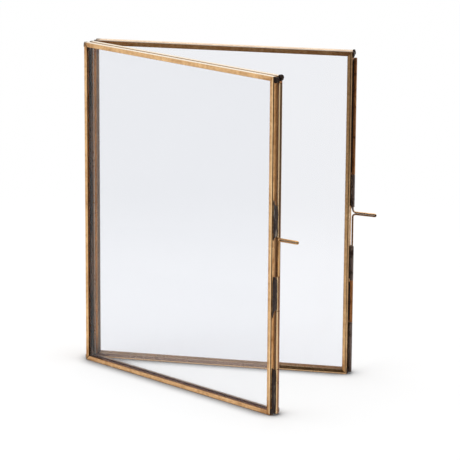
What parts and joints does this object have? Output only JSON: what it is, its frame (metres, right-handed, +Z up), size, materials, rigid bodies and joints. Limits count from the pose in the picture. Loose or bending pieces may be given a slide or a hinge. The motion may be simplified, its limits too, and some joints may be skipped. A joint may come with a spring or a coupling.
{
  "type": "hinged double photo frame",
  "caption": "Free-standing double photo frame: clear panes edged in mitred brass channel, hinged like a book, each leaf opening for a print behind a sliding wire latch.",
  "frame": {"origin": "middle of the foot of the back leaf's inner pane, where it rests on the table", "axes": "+Z up, +X along the back leaf from the spine to its latch edge, -Y towards the front leaf"},
  "size_m": [0.2167, 0.1222, 0.24],
  "materials": {
    "glass": "clear, polished",
    "brass_channel": "antique brass, satin, browned in the corners",
    "brass_tube": "antique brass, satin",
    "latch_wire": "antique brass, smooth",
    "tinned_tube": "dark tinned, uneven",
    "solder": "dark tin solder, lumpy"
  },
  "bodies": {
    "front_outer": {"front_outer_glass": "glass", "front_outer_top_came": "brass_channel", "front_outer_bottom_came": "brass_channel", "front_outer_spine_came": "brass_channel", "front_outer_free_came": "brass_channel", "front_upper_guide_tube": "brass_tube", "front_lower_guide_tube": "brass_tube", "front_foot_tube": "brass_tube", "front_guide_solder": "solder", "front_outer_pane_knuckles": "brass_tube"},
    "front_inner": {"front_inner_glass": "glass", "front_inner_top_came": "brass_channel", "front_inner_bottom_came": "brass_channel", "front_inner_spine_came": "brass_channel", "front_inner_free_came": "brass_channel", "front_long_keeper_tube": "brass_tube", "front_short_keeper_tube": "brass_tube", "front_keeper_solder": "solder", "front_inner_pane_knuckles": "brass_tube", "front_inner_spine_knuckles": "brass_tube", "front_pane_hinge_wire": "brass_tube"},
    "back_inner": {"back_inner_glass": "glass", "back_inner_top_came": "brass_channel", "back_inner_bottom_came": "brass_channel", "back_inner_spine_came": "brass_channel", "back_inner_free_came": "brass_channel", "back_long_keeper_tube": "brass_tube", "back_short_keeper_tube": "brass_tube", "back_keeper_solder": "solder", "back_inner_pane_knuckles": "brass_tube", "back_inner_spine_knuckles": "brass_tube", "spine_hinge_wire": "brass_tube", "back_pane_hinge_wire": "brass_tube"},
    "back_outer": {"back_outer_glass": "glass", "back_outer_top_came": "brass_channel", "back_outer_bottom_came": "brass_channel", "back_outer_spine_came": "brass_channel", "back_outer_free_came": "brass_channel", "back_upper_guide_tube": "tinned_tube", "back_lower_guide_tube": "tinned_tube", "back_foot_tube": "tinned_tube", "back_guide_solder": "solder", "back_outer_pane_knuckles": "brass_tube"},
    "front_pin": {"front_latch_pin": "latch_wire"},
    "back_pin": {"back_latch_pin": "latch_wire"}
  },
  "joints": [
    {"name": "spine_fold", "type": "hinge", "parent": "back_inner", "child": "front_inner", "pos_m": [-0.097, -0.00195, 0], "axis": [0, 0, -1], "range_deg": [-32, 88]},
    {"name": "front_cover", "type": "hinge", "parent": "front_inner", "child": "front_outer", "pos_m": [-0.09929, -0.00618, 0], "axis": [0, 0, -1], "range_deg": [0, 65]},
    {"name": "back_cover", "type": "hinge", "parent": "back_inner", "child": "back_outer", "pos_m": [-0.0967, 0.00285, 0], "axis": [0, 0, 1], "range_deg": [0, 65]},
    {"name": "front_latch", "type": "slide", "parent": "front_outer", "child": "front_pin", "axis": [0, 0, -1], "range_m": [0, 0.02]},
    {"name": "back_latch", "type": "slide", "parent": "back_outer", "child": "back_pin", "axis": [0, 0, -1], "range_m": [0, 0.02]}
  ]
}
